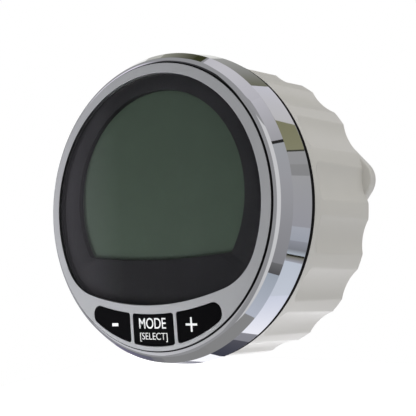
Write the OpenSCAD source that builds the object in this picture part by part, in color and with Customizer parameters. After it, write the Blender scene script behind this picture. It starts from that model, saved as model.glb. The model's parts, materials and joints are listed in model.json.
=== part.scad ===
// Panel gauge with a round display, three buttons, a chrome bezel and a clamp nut.
// X is to the right seen from the front, Y runs from the face into the panel, Z is up.
// The origin is on the gauge's axis, in the plane where the gasket meets the panel.

/* [Bezel] */
// Outside diameter of the bezel at the panel
bezel_d = 100; // [96:0.5:106]
// Height of the face above the bezel's rear edge
bezel_h = 12.6; // [12.6:0.1:16]
// Radial set-back of the crease between the two bands
crease_in = 1.84; // [1.2:0.02:2.2]
// Height of that crease above the bezel's rear edge
crease_h = 8.2; // [7:0.1:8.6]
// Width of the rolled lip around the face plate
lip_w = 1.45; // [1.2:0.05:1.6]
// Small break on the bezel's rear edge
bezel_break = 0.3; // [0.1:0.05:0.6]

/* [Face plate] */
// Diameter of the satin face plate
face_d = 89; // [88.6:0.1:89.4]
// Thickness of the face plate at the buttons
plate_t = 2.2; // [1.8:0.1:2.4]
// Thickness of the plate's hidden rim
rim_t = 1.2; // [1:0.1:1.6]
// Width by which the hidden rim stands out under the lip
rim_w = 0.7; // [0.4:0.05:0.8]
// Depth of the window recess below the face
recess_t = 0.6; // [0.3:0.05:0.9]

/* [Window] */
// Diameter of the window
window_d = 82; // [78:0.5:82.6]
// Lowest point of the window below the axis
window_low = 30.4; // [28:0.1:30.6]
// Radius of the window's lower edge
window_low_r = 92; // [80:1:120]
// Radius that blends the lower edge into the circle
window_corner_r = 17; // [12:0.5:18]
// Thickness of the clear lens
lens_t = 2; // [1.8:0.1:2.2]
// Thickness of the seal behind the lens
lens_seal_t = 0.4; // [0.3:0.05:0.6]

/* [Display] */
// Diameter of the visible display
display_d = 68; // [60:0.5:68.4]
// Height of the display's centre above the axis
display_up = 2.8; // [1.5:0.1:3]
// Distance from the display's centre down to its flat edge
display_low = 18.8; // [16:0.2:19]
// Turn of the display's flat edge, in degrees
display_turn = 2.7; // [0:0.1:4]
// How far the opening's lower edge bows down at its middle
display_bow = 0.85; // [0:0.05:1.3]
// Radius of the opening's bowed lower edge
display_bow_r = 280; // [200:10:400]
// Drop of the mask's dished border
dish_t = 1.4; // [0.8:0.1:1.5]
// Thickness of the mask's wall around the display
mask_base_t = 1.5; // [1.2:0.1:1.7]
// Height of the mask from its lens side to the display
mask_t = 3.2; // [3:0.1:3.4]
// Thickness of each of the display's two glasses
glass_t = 1.1; // [0.7:0.1:1.3]
// Thickness of the light guide
guide_t = 1.3; // [1.1:0.1:1.6]

/* [Buttons] */
// Top edge of the button row below the axis
row_top = 33; // [32.8:0.05:33.6]
// Radius of the row's top edge
row_top_r = 85; // [75:1:110]
// Bottom edge of the button row below the axis
row_low = 42.6; // [41.6:0.05:42.7]
// Radius of the row's bottom edge
row_low_r = 44.15; // [43.6:0.05:44.6]
// Width of the middle button's opening
mode_w = 16.2; // [14:0.1:18]
// Width of the rib between two openings
rib_w = 1.2; // [1.1:0.05:1.6]
// How far the row reaches to each side
row_reach = 25.4; // [23:0.1:25.6]
// Radius of the row's outer ends
row_end_r = 2.7; // [1.5:0.1:2.8]
// Radius of the openings' other corners
row_corner_r = 0.8; // [0.4:0.05:1.2]
// Gap around each button cap
cap_gap = 0.2; // [0.15:0.05:0.3]
// Depth of the caps below the face
cap_down = 0.2; // [0:0.05:0.4]
// Travel of a button
button_travel = 0.8; // [0.4:0.05:0.8]
// Radius of a button's stem
stem_r = 1.5; // [1.2:0.05:1.8]

/* [Boards] */
// Thickness of both circuit boards
board_t = 1.6; // [1.2:0.1:2]
// Diameter of the power board
power_board_d = 72; // [66:0.5:76]
// Distance between the power board and the rear wall
board_stand = 4.8; // [3:0.1:6]
// Radius of the screws' shanks
screw_r = 1.05; // [0.9:0.05:1.2]
// Length of the screws below the head
screw_l = 7; // [5:0.5:7]

/* [Case] */
// Diameter over the case's thread
thread_d = 84.4; // [83:0.1:84.6]
// Depth of the thread
thread_t = 0.7; // [0.4:0.05:0.9]
// Pitch of the thread
thread_pitch = 3; // [2:0.25:4]
// Length of the plain land that centres the gauge in the panel's hole
land_y = 3; // [1:0.5:6]
// Wall of the barrel under the thread
barrel_wall = 1.8; // [1.5:0.1:2.2]
// Depth of the case behind the panel face
case_depth = 31; // [31:0.5:36]
// Thickness of the case's rear wall
rear_t = 2.2; // [1.8:0.1:2.6]
// Thickness of the case's front flange
flange_t = 3.5; // [3:0.1:4]
// Thickness of the panel gasket
gasket_t = 1.5; // [1:0.1:2.5]

/* [Clamp nut] */
// Length of the fluted part
nut_l = 34.2; // [30:0.1:40]
// Diameter at the nut's front edge
nut_front_d = 97.4; // [96.6:0.1:99]
// Diameter over the flutes' crests at the rear
nut_rear_d = 107.1; // [102:0.1:110]
// Gap between the nut's front edge and the gasket
nut_gap = 0.3; // [0.2:0.1:1]
// Number of flutes
flutes = 20; // [16:1:24]
// Depth of a flute
flute_t = 1.2; // [0.8:0.01:1.6]
// Radius of a flute's section
flute_r = 18.2; // [12:0.1:20]
// Distance of the flutes' round ends from the nut's front
flute_start = 3; // [2:0.1:6]
// Radius of the flutes' round ends
flute_end_r = 3.8; // [2:0.1:5]
// Turn of the first crest from the X axis, in degrees
crest_turn = 10.9; // [0:0.1:18]
// Length of the grip lugs behind the flutes
lug_l = 4.3; // [3:0.1:6]
// Reach of each grip lug from the axis
lug_reach = 55.6; // [53:0.1:57]
// Radius of a lug's tip
lug_r = 7.6; // [5:0.1:8]
// Turn of the lugs from the X axis, in degrees
lug_turn = 5.5; // [0:0.5:20]

/* [Connector] */
// Outside diameter of the connector's shroud
shroud_d = 24; // [22:0.5:26]
// Wall of the shroud
shroud_wall = 1.6; // [1.2:0.1:2]
// Length of the shroud behind the case
shroud_l = 15.5; // [14:0.5:18]
// Distance of the connector below the axis
connector_down = 12; // [11:0.5:14]
// Radius of a contact pin
pin_r = 0.5; // [0.4:0.05:0.6]
// Spacing of the pins
pin_pitch = 4; // [3.5:0.1:4.2]
// Diameter of the vent plug's cap
vent_d = 9; // [7:0.5:10]

/* [Hidden] */
$fn = 96;
fine = 240;
e = 0.01;
// Gap between parts that move on each other, between a shaft and its hole, and between fixed parts
play = 0.2;
run_gap = 0.08;
fit_gap = 0.1;

// Planes along the axis, from the face towards the rear
flange_y = -gasket_t;
face_y = flange_y - bezel_h;
lens_y = face_y + recess_t;
seal_y = lens_y + lens_t;
mask_y = seal_y + lens_seal_t;
glass_y = mask_y + mask_t;
base_y = glass_y - mask_base_t;
guide_y = glass_y + 2 * glass_t;
board_y = guide_y + guide_t;
floor_y = board_y + board_t;
plate_back = face_y + plate_t;
rim_back = plate_back + rim_t;
case_seal_t = 0.6;
tube_y = rim_back + case_seal_t;
rear_in = case_depth - rear_t;
power_back = rear_in - board_stand;
power_y = power_back - board_t;

// Radii
bezel_r = bezel_d / 2;
face_r = face_d / 2;
lip_in = face_r + fit_gap;
lip_r = lip_in + lip_w;
crease_r = bezel_r - crease_in;
rim_r = face_r + rim_w;
sleeve_r = rim_r + fit_gap;
tube_r = rim_r - fit_gap;
tube_wall = 1.5;
tube_in = tube_r - tube_wall;
skirt_wall = 2.5;
hook_w = 0.7;
flange_r = bezel_r - skirt_wall - play;
thread_r = thread_d / 2;
root_r = thread_r - thread_t;
barrel_in = root_r - barrel_wall;
board_r = tube_in - 0.4;

// Button row
row_low_up = row_low_r - row_low;
mode_x = mode_w / 2;
side_x = mode_x + rib_w;
flange_w = 0.35;
seal_sheet_t = 0.5;
cap_front = face_y + cap_down;
cap_back = plate_back + play;
cap_flange_back = base_y - seal_sheet_t - button_travel - play;
key_mode = [0, -36.5];
key_side = [16, -34.8];
plunger_r = 1.1;
plunger_up = 1.1;
switch_w = 4.5;
switch_h = 1.9;
switch_y = board_y - switch_h;
plunger_y = switch_y - plunger_up;
plunger_in = 0.7;

// Display outlines
glass_margin = 1.6;
ledge_w = 3.5;
frame_gap = 0.15;
frame_foot = 1.9;
strip_w = 2.2;
led_size = [3, 0.9, 1];
led_count = 6;
led_pitch = 6.5;

// Board screws: angle from the X axis, and distance from the axis
screw_angles = [-15, -50, -130, -165];
screw_ring = 37.9;
pillar_r = 2.9;
pillar_l = 8.8;
head_r = 2.1;
head_h = 1.4;
power_screw_angles = [90, 210, 330];
power_screw_ring = power_board_d / 2 - 5.5;
power_screw_in = board_stand - 0.6;
regulator_at = [-17, 8];
regulator_size = [10, 9, 4.4];
can_at = [20, -4];
can_r = 4;
can_l = 10;
chip_w = 14;
chip_t = 1.4;
driver_at = [18, 4];
driver_size = [8, 10, 1.6];
strip_l = 44;

// Clamp nut
nut_front_r = nut_front_d / 2;
nut_rear_r = nut_rear_d / 2;
nut_bore_r = thread_r + play;
nut_slope = atan((nut_rear_r - nut_front_r) / nut_l);
nut_sleeve_r = nut_bore_r + 2.2;
nut_shell = 2.6;
nut_core_y = 7;
nut_ribs = flutes / 2;
nut_rib_t = 1.6;
nut_rib_down = 3;
lug_flank_up = 30;
lug_flank_low = 44;
lug_foot = 8;
lug_root = 9;
lug_lap = 0.6;

// Connector
shroud_r = shroud_d / 2;
shroud_in = shroud_r - shroud_wall;
spigot_r = shroud_r - 0.5;
key_angles = [90, 205, 335];
key_w = 1.6;
key_h = 0.9;
key_down = 1.8;
insert_t = 4.2;
pin_tip = case_depth + shroud_l - 5.5;
pin_rows = [3, 4, 3];
vent_at = [-20, 10];
vent_stem_r = vent_d / 3;

// Turned solid: the outline holds radius and place along the axis
module turned() {
    rotate([-90, 0, 0]) rotate_extrude($fn = fine) children();
}

// Solid of one outline seen from the front, between two planes
module slab(y0, y1) {
    translate([0, y1, 0]) rotate([90, 0, 0]) linear_extrude(height = y1 - y0) children();
}

// Round rod along the axis direction, at a point of the face
module rod(at, r, y0, y1) {
    translate([at[0], y0, at[1]]) rotate([-90, 0, 0]) cylinder(r = r, h = y1 - y0);
}

// Block centred on a point of the face, between two planes
module block(at, w, h, y0, y1) {
    translate([at[0] - w / 2, y0, at[1] - h / 2]) cube([w, y1 - y0, h]);
}

function on_ring(r, a) = [r * cos(a), r * sin(a)];

// Points of an arc round c, from angle a0 up to, but not including, a1
function arc(c, r, a0, a1, n) = [
    for (k = [0 : n - 1]) let (a = a0 + (a1 - a0) * k / n) c + r * [cos(a), sin(a)]
];

// Window outline, grown by d all round: the circle, the lower edge's flat arc, and between
// them on each side a corner arc that is tangent to both.
module window_outline(d = 0) {
    near = window_d / 2 - window_corner_r;
    far = window_low_r - window_corner_r;
    low_up = window_low_r - window_low;
    cz = (low_up * low_up - far * far + near * near) / (2 * low_up);
    cx = sqrt(near * near - cz * cz);
    a_top = atan2(cz, cx);
    a_low = atan2(cz - low_up, cx);
    polygon(concat(
        arc([0, 0], window_d / 2 + d, a_top, 180 - a_top, 100),
        arc([-cx, cz], window_corner_r + d, 180 - a_top, 180 - a_low, 14),
        arc([0, low_up], window_low_r + d, -180 - a_low, a_low, 16),
        arc([cx, cz], window_corner_r + d, a_low, a_top, 14)
    ));
}

// Display outline: a circle cut by a straight lower edge
module display_outline(r, low) {
    translate([0, display_up]) rotate(-display_turn) intersection() {
        circle(r = r, $fn = fine);
        translate([-r, -low]) square([2 * r, low + r]);
    }
}

// Points given from the display's centre, turned with it
// Opening over the display, grown by d: a circle whose lower side is a flat arc
module display_opening(d = 0) {
    r = display_d / 2 + d;
    bow_r = display_bow_r + d;
    bow_up = display_bow_r - display_low - display_bow;
    z = (r * r - bow_r * bow_r + bow_up * bow_up) / (2 * bow_up);
    a_side = asin(z / r);
    a_bow = atan2(z - bow_up, r * cos(a_side));
    translate([0, display_up]) rotate(-display_turn) polygon(concat(
        arc([0, 0], r, a_side, 180 - a_side, 120),
        arc([0, bow_up], bow_r, -180 - a_bow, a_bow, 16)
    ));
}

module on_display() {
    translate([0, 0, display_up]) rotate([0, display_turn, 0]) children();
}

// The whole button row without ribs, between two distances from the middle
module row_band(x0, x1) {
    intersection() {
        translate([0, row_low_up]) circle(r = row_low_r, $fn = fine);
        difference() {
            translate([x0, -2 * row_low]) square([x1 - x0, 2 * row_low]);
            translate([0, row_top_r - row_top]) circle(r = row_top_r, $fn = 2 * fine);
        }
    }
}

module rounded(r) {
    offset(r = r, $fn = 48) offset(delta = -r) children();
}

module mode_outline() {
    rounded(row_corner_r) row_band(-mode_x, mode_x);
}

module side_outline() {
    rounded(row_corner_r) intersection() {
        rounded(row_end_r) row_band(0, row_reach);
        translate([side_x, -2 * row_low]) square([row_reach, 2 * row_low]);
    }
}

module row_outlines() {
    mode_outline();
    side_outline();
    mirror([1, 0]) side_outline();
}

module chrome_bezel() {
    crease_y = flange_y - crease_h;
    lip_y = face_y + lip_w + fit_gap;
    seat_y = plate_back;
    shoulder_y = flange_y - flange_t - play;
    hook_y = flange_y - 0.5;
    skirt_in = flange_r + play;
    // how far the lip's round section runs into the bezel's body
    root_in = 0.3;
    color("gainsboro") {
        turned() polygon([
            [skirt_in - hook_w, flange_y], [bezel_r - bezel_break, flange_y],
            [bezel_r, flange_y - bezel_break],
            [crease_r, crease_y], [lip_r, lip_y], [lip_in, lip_y], [lip_in, seat_y], [sleeve_r, seat_y],
            [sleeve_r, shoulder_y], [skirt_in, shoulder_y], [skirt_in, hook_y], [skirt_in - hook_w, hook_y]
        ]);
        turned() intersection() {
            translate([lip_in, lip_y]) circle(r = lip_w);
            translate([lip_in, lip_y - lip_w]) square([lip_w, lip_w + root_in]);
        }
    }
}

module face_plate() {
    color("silver") difference() {
        union() {
            rod([0, 0], face_r, face_y, rim_back);
            rod([0, 0], rim_r, plate_back, rim_back);
        }
        slab(face_y - 1, rim_back + 1) window_outline();
        slab(lens_y, rim_back + 1) window_outline(1.2);
        slab(face_y - 1, rim_back + 1) row_outlines();
        slab(plate_back, rim_back + 1) offset(delta = flange_w + 0.3) row_outlines();
    }
}

module window_lens() {
    color("lightblue", 0.3) slab(lens_y, seal_y) window_outline(1.2 - fit_gap);
}

module lens_seal() {
    color("dimgray") slab(seal_y, mask_y) difference() {
        window_outline(1);
        window_outline(0.05);
    }
}

module display_mask() {
    dish_back = mask_y + dish_t;
    // narrow flat step at the foot of the dish
    dish_edge = 0.15;
    color("black") difference() {
        union() {
            slab(mask_y, glass_y) window_outline(1);
            rod([0, 0], board_r + play, base_y, glass_y);
        }
        hull() {
            slab(mask_y - e, mask_y) window_outline();
            slab(dish_back - e, dish_back) display_opening(dish_edge);
        }
        slab(mask_y, glass_y + 1) display_opening();
        for (k = key_places()) rod(k, stem_r + run_gap, base_y - 1, glass_y + 1);
    }
}

function key_places() = [[-key_side[0], key_side[1]], key_mode, key_side];

module lcd_panel() {
    r = display_d / 2 + glass_margin;
    color("darkslategray") {
        slab(glass_y, glass_y + glass_t) display_outline(r, display_low + glass_margin);
        slab(glass_y + glass_t, guide_y) display_outline(r, display_low + glass_margin + ledge_w);
    }
}

module display_frame() {
    r = display_d / 2 + glass_margin + frame_gap;
    low = display_low + glass_margin + ledge_w + frame_gap;
    color("whitesmoke") difference() {
        intersection() {
            rod([0, 0], board_r, glass_y, board_y);
            slab(glass_y, board_y) display_outline(2 * board_r, low + frame_foot);
        }
        slab(glass_y - 1, board_y + 1) display_outline(r, low);
        for (a = screw_angles) rod(on_ring(screw_ring, a), head_r + play, glass_y - 1, board_y + 1);
    }
}

module light_guide() {
    color("white") slab(guide_y, board_y)
        display_outline(display_d / 2 + glass_margin - fit_gap, display_low + glass_margin - fit_gap);
}

module contact_strip() {
    low = display_low + glass_margin + ledge_w;
    color("dimgray") on_display()
        block([0, -low + strip_w / 2 + fit_gap], strip_l, strip_w, guide_y, board_y);
}

module backlight_leds() {
    z = -display_low - glass_margin - led_size[2] / 2;
    color("khaki") on_display() for (k = [0 : led_count - 1])
        block(
            [(k - (led_count - 1) / 2) * led_pitch, z], led_size[0], led_size[2],
            board_y - led_size[1], board_y
        );
}

module button_seal() {
    color("dimgray") difference() {
        slab(base_y - seal_sheet_t, base_y) offset(delta = flange_w) row_outlines_joined();
        for (k = key_places()) rod(k, stem_r + run_gap, base_y - 1, base_y + 1);
    }
}

module row_outlines_joined() {
    intersection() {
        rounded(row_end_r) union() {
            row_band(0, row_reach);
            mirror([1, 0]) row_band(0, row_reach);
        }
        circle(r = board_r, $fn = fine);
    }
}

// Button cap with the flange that holds it behind the face plate, and its stem
module button(at) {
    color([0.05, 0.05, 0.055]) {
        slab(cap_front, cap_flange_back) offset(delta = -cap_gap) children();
        slab(cap_back, cap_flange_back) offset(delta = flange_w) children();
        rod(at, stem_r, cap_flange_back - e, plunger_y);
    }
}

module minus_button() {
    button([-key_side[0], key_side[1]]) mirror([1, 0]) side_outline();
}

module mode_button() {
    button(key_mode) mode_outline();
}

module plus_button() {
    button(key_side) side_outline();
}

module plunger(at) {
    color("ivory") rod(at, plunger_r, plunger_y, switch_y + plunger_in);
}

module minus_plunger() {
    plunger([-key_side[0], key_side[1]]);
}

module mode_plunger() {
    plunger(key_mode);
}

module plus_plunger() {
    plunger(key_side);
}

module switch_housings() {
    color("darkgray") for (k = key_places()) difference() {
        block(k, switch_w, switch_w, switch_y, board_y);
        rod(k, plunger_r + run_gap, switch_y - 1, board_y - 0.2);
    }
}

module circuit_board() {
    color("darkgreen") difference() {
        rod([0, 0], board_r, board_y, floor_y);
        for (a = screw_angles) rod(on_ring(screw_ring, a), screw_r + 0.3, board_y - 1, floor_y + 1);
    }
}

// Pan-head screw with a cross recess, its head resting on the plane y
module screw(at, y, l) {
    difference() {
        union() {
            rod(at, head_r, y - head_h, y);
            rod(at, screw_r, y, y + l);
        }
        block(at, head_r * 1.2, head_r * 0.3, y - head_h - 1, y - head_h / 2);
        block(at, head_r * 0.3, head_r * 1.2, y - head_h - 1, y - head_h / 2);
    }
}

module board_screws() {
    color("silver") for (a = screw_angles) screw(on_ring(screw_ring, a), board_y, screw_l);
}

module processor_chip() {
    color("black") block([0, 0], chip_w, chip_w, floor_y, floor_y + chip_t);
}

module driver_chips() {
    color("black") for (s = [-1, 1])
        block(
            [s * driver_at[0], driver_at[1]], driver_size[0], driver_size[1],
            floor_y, floor_y + driver_size[2]
        );
}

ribbon_at = [0, 22];
socket_h = 4;
ribbon_t = 0.9;
ribbon_w = 15;
ribbon_bow = 3;

module ribbon_sockets() {
    color("black") {
        block(ribbon_at, ribbon_w + 3, 5, floor_y, floor_y + socket_h);
        block(ribbon_at, ribbon_w + 3, 5, power_y - socket_h, power_y);
    }
}

// Flat cable bowed between the two sockets
module board_ribbon() {
    y0 = floor_y + socket_h;
    y1 = power_y - socket_h;
    half = (y1 - y0) / 2;
    r = (half * half + ribbon_bow * ribbon_bow) / (2 * ribbon_bow);
    color("gray") translate([-ribbon_w / 2, 0, 0]) rotate([90, 0, 90]) linear_extrude(height = ribbon_w)
        intersection() {
            translate([(y0 + y1) / 2, ribbon_at[1] + r - ribbon_bow]) difference() {
                circle(r = r + ribbon_t / 2, $fn = fine);
                circle(r = r - ribbon_t / 2, $fn = fine);
            }
            translate([y0, ribbon_at[1] - ribbon_bow - ribbon_t])
                square([y1 - y0, ribbon_bow + 2 * ribbon_t]);
        }
}

// Places of the connector's pins: rows of the numbers in pin_rows
function pin_places() = [
    for (i = [0 : len(pin_rows) - 1]) for (j = [0 : pin_rows[i] - 1])
        [(j - (pin_rows[i] - 1) / 2) * pin_pitch,
         -connector_down + ((len(pin_rows) - 1) / 2 - i) * pin_pitch * sin(60)]
];

module power_board() {
    color("darkgreen") difference() {
        rod([0, 0], power_board_d / 2, power_y, power_back);
        for (a = power_screw_angles)
            rod(on_ring(power_screw_ring, a), screw_r + 0.3, power_y - 1, power_back + 1);
        for (k = pin_places()) rod(k, pin_r + run_gap, power_y - 1, power_back + 1);
    }
}

module power_screws() {
    color("silver") for (a = power_screw_angles)
        screw(on_ring(power_screw_ring, a), power_y, board_t + power_screw_in);
}

module voltage_regulator() {
    color("black")
        block(regulator_at, regulator_size[0], regulator_size[1], power_y - regulator_size[2], power_y);
}

module capacitors() {
    color("slategray") for (s = [-1, 1]) rod([s * can_at[0], can_at[1]], can_r, power_y - can_l, power_y);
}

// Half section of the case: front tube, flange, threaded barrel and rear wall
module case_section() {
    step_y = flange_y - 0.6;
    step_r = flange_r - hook_w;
    polygon([
        [tube_in, tube_y], [tube_r, tube_y], [tube_r, flange_y - flange_t], [flange_r, flange_y - flange_t],
        [flange_r, step_y], [step_r, step_y], [step_r, flange_y], [thread_r, flange_y], [thread_r, land_y],
        [root_r, land_y + thread_t], [root_r, case_depth - 1],
        [root_r - 1, case_depth], [0, case_depth], [0, rear_in], [barrel_in, rear_in], [barrel_in, floor_y],
        [tube_in, floor_y]
    ]);
}

// Crests of the thread, one ring for each turn
module thread_crests() {
    turns = floor((case_depth - land_y - 3) / thread_pitch);
    flank = thread_pitch * 0.3;
    for (k = [0 : turns - 1]) translate([root_r, land_y + 1.5 + k * thread_pitch])
        polygon([[-e, 0], [thread_t, flank * 0.8], [thread_t, flank * 1.4], [-e, flank * 2.2]]);
}

module case_shell() {
    color("whitesmoke") difference() {
        union() {
            turned() case_section();
            turned() thread_crests();
            for (a = screw_angles) rod(on_ring(screw_ring, a), pillar_r, floor_y, floor_y + pillar_l);
            for (a = power_screw_angles)
                rod(on_ring(power_screw_ring, a), pillar_r, power_back, rear_in + e);
        }
        rod([0, -connector_down], spigot_r + fit_gap, rear_in - 1, case_depth + 1);
        for (a = screw_angles)
            rod(on_ring(screw_ring, a), screw_r + 0.05, floor_y - 1, floor_y + pillar_l - 1);
        for (a = power_screw_angles)
            rod(on_ring(power_screw_ring, a), screw_r + 0.05, power_back - 1, rear_in + 0.4);
        rod(vent_at, vent_stem_r + 0.05, rear_in - 1, case_depth + 1);
    }
}

// Shroud of the connector: it stands on the rear wall, its spigot is bonded into the wall's
// hole, and the keys inside it let the plug in one way round
module connector_shell() {
    key_y = rear_in + insert_t + play;
    color("whitesmoke") {
        difference() {
            union() {
                rod([0, -connector_down], spigot_r, rear_in, case_depth + e);
                rod([0, -connector_down], shroud_r, case_depth, case_depth + shroud_l);
            }
            rod([0, -connector_down], shroud_in, rear_in - 1, case_depth + shroud_l + 1);
        }
        for (a = key_angles) translate([0, 0, -connector_down]) rotate([0, -a, 0])
            translate([shroud_in - key_h, key_y, -key_w / 2])
                cube([key_h + 0.1, case_depth + shroud_l - key_y - key_down, key_w]);
    }
}

module case_seal() {
    color("dimgray") turned() translate([tube_in + 0.2, rim_back]) square([tube_wall - 0.4, case_seal_t]);
}

module panel_gasket() {
    color("black") turned() translate([thread_r + 0.3, flange_y])
        square([bezel_r - thread_r - 0.3, gasket_t]);
}

// One flute cutter: a rod with a rounded front edge, laid along the nut's cone
module flute_cutter(a) {
    l = nut_l * 1.5;
    rotate([0, -a, 0]) translate([nut_front_r - flute_t + flute_r, 0, 0]) rotate([-90, 0, 0])
        rotate([0, nut_slope, 0]) translate([0, 0, flute_start]) rotate_extrude($fn = fine) {
            square([flute_r - flute_end_r, l]);
            translate([0, flute_end_r]) square([flute_r, l - flute_end_r]);
            intersection() {
                translate([flute_r - flute_end_r, flute_end_r]) circle(r = flute_end_r);
                translate([flute_r - flute_end_r, 0]) square(flute_end_r);
            }
        }
}

// Outline of one grip lug: a round tip between two straight flanks, and a root that
// reaches in to the nut's threaded sleeve
module lug_outline() {
    tip = [lug_reach - lug_r, 0];
    up = lug_flank_up;
    low = -lug_flank_low;
    foot_up = tip + lug_r * [cos(up), sin(up)] + lug_foot * [-sin(up), cos(up)];
    foot_low = tip + lug_r * [cos(low), sin(low)] + lug_foot * [sin(low), -cos(low)];
    polygon(concat(
        [[nut_bore_r - 1, foot_low[1]], foot_low],
        arc(tip, lug_r, low, up, 24),
        [tip + lug_r * [cos(up), sin(up)], foot_up, [nut_bore_r - 1, foot_up[1]]]
    ));
}

// Both lugs: at full reach behind the flutes, and a root inside the shell
module lugs() {
    root_y = nut_l - lug_root;
    for (s = [0, 180]) rotate([0, -lug_turn - s, 0]) difference() {
        slab(root_y, nut_l + lug_l) lug_outline();
        turned() translate([nut_rear_r - flute_t - nut_shell / 2, root_y - 1])
            square([lug_reach, lug_root + 1 - lug_lap]);
    }
}

// Cored space between the nut's threaded sleeve and its fluted shell, with ribs left across it
module nut_core() {
    thin = flute_t + nut_shell;
    rise = tan(nut_slope);
    difference() {
        turned() polygon([
            [nut_sleeve_r, nut_core_y], [nut_front_r + nut_core_y * rise - thin, nut_core_y],
            [nut_rear_r + rise - thin, nut_l + 1], [nut_sleeve_r, nut_l + 1]
        ]);
        for (k = [0 : nut_ribs - 1]) rotate([0, -crest_turn - k * 360 / nut_ribs, 0])
            translate([nut_sleeve_r - 1, 0, -nut_rib_t / 2])
                cube([nut_shell * 4, nut_l - nut_rib_down, nut_rib_t]);
    }
}

module clamp_nut() {
    round_r = 1;
    core_r = nut_bore_r - 2;
    color("whitesmoke") translate([0, nut_gap, 0]) difference() {
        union() {
            difference() {
                turned() polygon([
                    [core_r, 0], [nut_front_r - round_r, 0], [nut_front_r, round_r],
                    [nut_rear_r, nut_l], [core_r, nut_l]
                ]);
                for (k = [0 : flutes - 1]) flute_cutter(crest_turn + (k + 0.5) * 360 / flutes);
                nut_core();
            }
            lugs();
        }
        rod([0, 0], nut_bore_r, -1, nut_l + lug_l + 1);
    }
}

module connector_insert() {
    color("dimgray") difference() {
        rod([0, -connector_down], shroud_in - 0.05, rear_in, rear_in + insert_t);
        for (k = pin_places()) rod(k, pin_r + 0.05, rear_in - 1, rear_in + insert_t + 1);
    }
}

module connector_pins() {
    color("gold") for (k = pin_places()) rod(k, pin_r, power_y - 0.8, pin_tip);
}

module vent_plug() {
    color("black") {
        rod(vent_at, vent_stem_r, rear_in, case_depth);
        rod(vent_at, vent_d / 2, case_depth, case_depth + 1.2);
    }
}

chrome_bezel();
face_plate();
window_lens();
lens_seal();
display_mask();
lcd_panel();
display_frame();
light_guide();
contact_strip();
backlight_leds();
button_seal();
minus_button();
mode_button();
plus_button();
minus_plunger();
mode_plunger();
plus_plunger();
switch_housings();
circuit_board();
board_screws();
processor_chip();
driver_chips();
ribbon_sockets();
board_ribbon();
power_board();
power_screws();
voltage_regulator();
capacitors();
case_shell();
case_seal();
panel_gasket();
clamp_nut();
connector_shell();
connector_insert();
connector_pins();
vent_plug();
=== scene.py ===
import json
from math import asin, atan2, ceil, cos, degrees, pi, radians, sin, sqrt, tan

import bmesh
import bpy
from mathutils import Matrix, Vector


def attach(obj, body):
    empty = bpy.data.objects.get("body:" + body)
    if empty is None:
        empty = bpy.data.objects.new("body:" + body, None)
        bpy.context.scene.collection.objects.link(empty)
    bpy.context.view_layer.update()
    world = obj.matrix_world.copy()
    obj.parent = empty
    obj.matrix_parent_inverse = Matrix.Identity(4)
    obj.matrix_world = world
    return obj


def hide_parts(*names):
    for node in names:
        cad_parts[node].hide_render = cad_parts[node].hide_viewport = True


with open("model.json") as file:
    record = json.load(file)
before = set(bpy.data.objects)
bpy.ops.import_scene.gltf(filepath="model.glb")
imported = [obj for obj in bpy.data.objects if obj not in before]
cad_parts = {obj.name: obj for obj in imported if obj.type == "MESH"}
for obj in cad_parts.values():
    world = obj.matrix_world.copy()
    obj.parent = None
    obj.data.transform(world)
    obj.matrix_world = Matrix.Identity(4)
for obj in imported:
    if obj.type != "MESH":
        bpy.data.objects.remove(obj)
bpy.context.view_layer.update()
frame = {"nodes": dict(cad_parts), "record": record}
MM = 0.001

# Camera, where the photographer stood: low and to the right of the gauge, looking
# slightly up at its face. The gauge's axis is Y, and the panel's front is the plane y = 0.
def add_object(name, data):
    """Object of some data, linked to the scene."""
    made = bpy.data.objects.new(name, data)
    bpy.context.scene.collection.objects.link(made)
    return made


CAMERA_AT = Vector((105.54, -130.48, -20.02))
camera_data = bpy.data.cameras.new("photo_camera")
camera_data.sensor_width = 36
camera_data.lens = 44.13
camera_data.clip_start = 0.01
camera = add_object("photo_camera", camera_data)
camera_right = Vector((0.81001, 0.58072, -0.08150))
camera_down = Vector((-0.13163, 0.04461, -0.99030))
camera_ahead = Vector((-0.57145, 0.81288, 0.11257))
camera_turn = Matrix((camera_right, -camera_down, -camera_ahead)).transposed()
camera.matrix_world = Matrix.Translation(CAMERA_AT * MM) @ camera_turn.to_4x4()
bpy.context.scene.camera = camera
bpy.context.scene.view_settings.view_transform = "Standard"

# Room: a white surround and a pale floor well below the gauge, as it is held up by its
# mount. The floor is lifted to white for the camera only, and keeps the gauge's shadow.
class Term:
    """Number that a node puts out. Arithmetic on it adds math nodes to its tree."""

    def __init__(self, tree, socket):
        self.tree, self.socket = tree, socket

    def math(self, operation, *others, clamp=False):
        return math_node(self.tree, operation, self, *others, clamp=clamp)

    def __add__(self, other):
        return self.math("ADD", other)

    def __sub__(self, other):
        return self.math("SUBTRACT", other)

    def __rsub__(self, other):
        return math_node(self.tree, "SUBTRACT", other, self)

    def __mul__(self, other):
        return self.math("MULTIPLY", other)

    def __truediv__(self, other):
        return self.math("DIVIDE", other)

    def __rtruediv__(self, other):
        return math_node(self.tree, "DIVIDE", other, self)


def feed(tree, node, sockets):
    """Gives a node's inputs their values, or links them from a Term or an output of another node."""
    for key, value in sockets.items():
        value = value.socket if isinstance(value, Term) else value
        if isinstance(value, bpy.types.NodeSocket):
            tree.links.new(value, node.inputs[key])
        else:
            node.inputs[key].default_value = value
    return node


def add_node(tree, kind, sockets=None, **settings):
    """New node with its settings, its inputs fed as above."""
    node = tree.nodes.new(kind)
    for name, value in settings.items():
        setattr(node, name, value)
    return feed(tree, node, sockets or {})


def math_node(tree, operation, *values, clamp=False):
    """Math node on Terms, outputs and plain numbers, as a Term."""
    node = add_node(tree, "ShaderNodeMath", dict(enumerate(values)), operation=operation, use_clamp=clamp)
    return Term(tree, node.outputs[0])


def new_material(name):
    """Material with Blender's own shader, and its tree."""
    material = bpy.data.materials.new(name)
    material.use_nodes = True
    return material, material.node_tree


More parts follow.
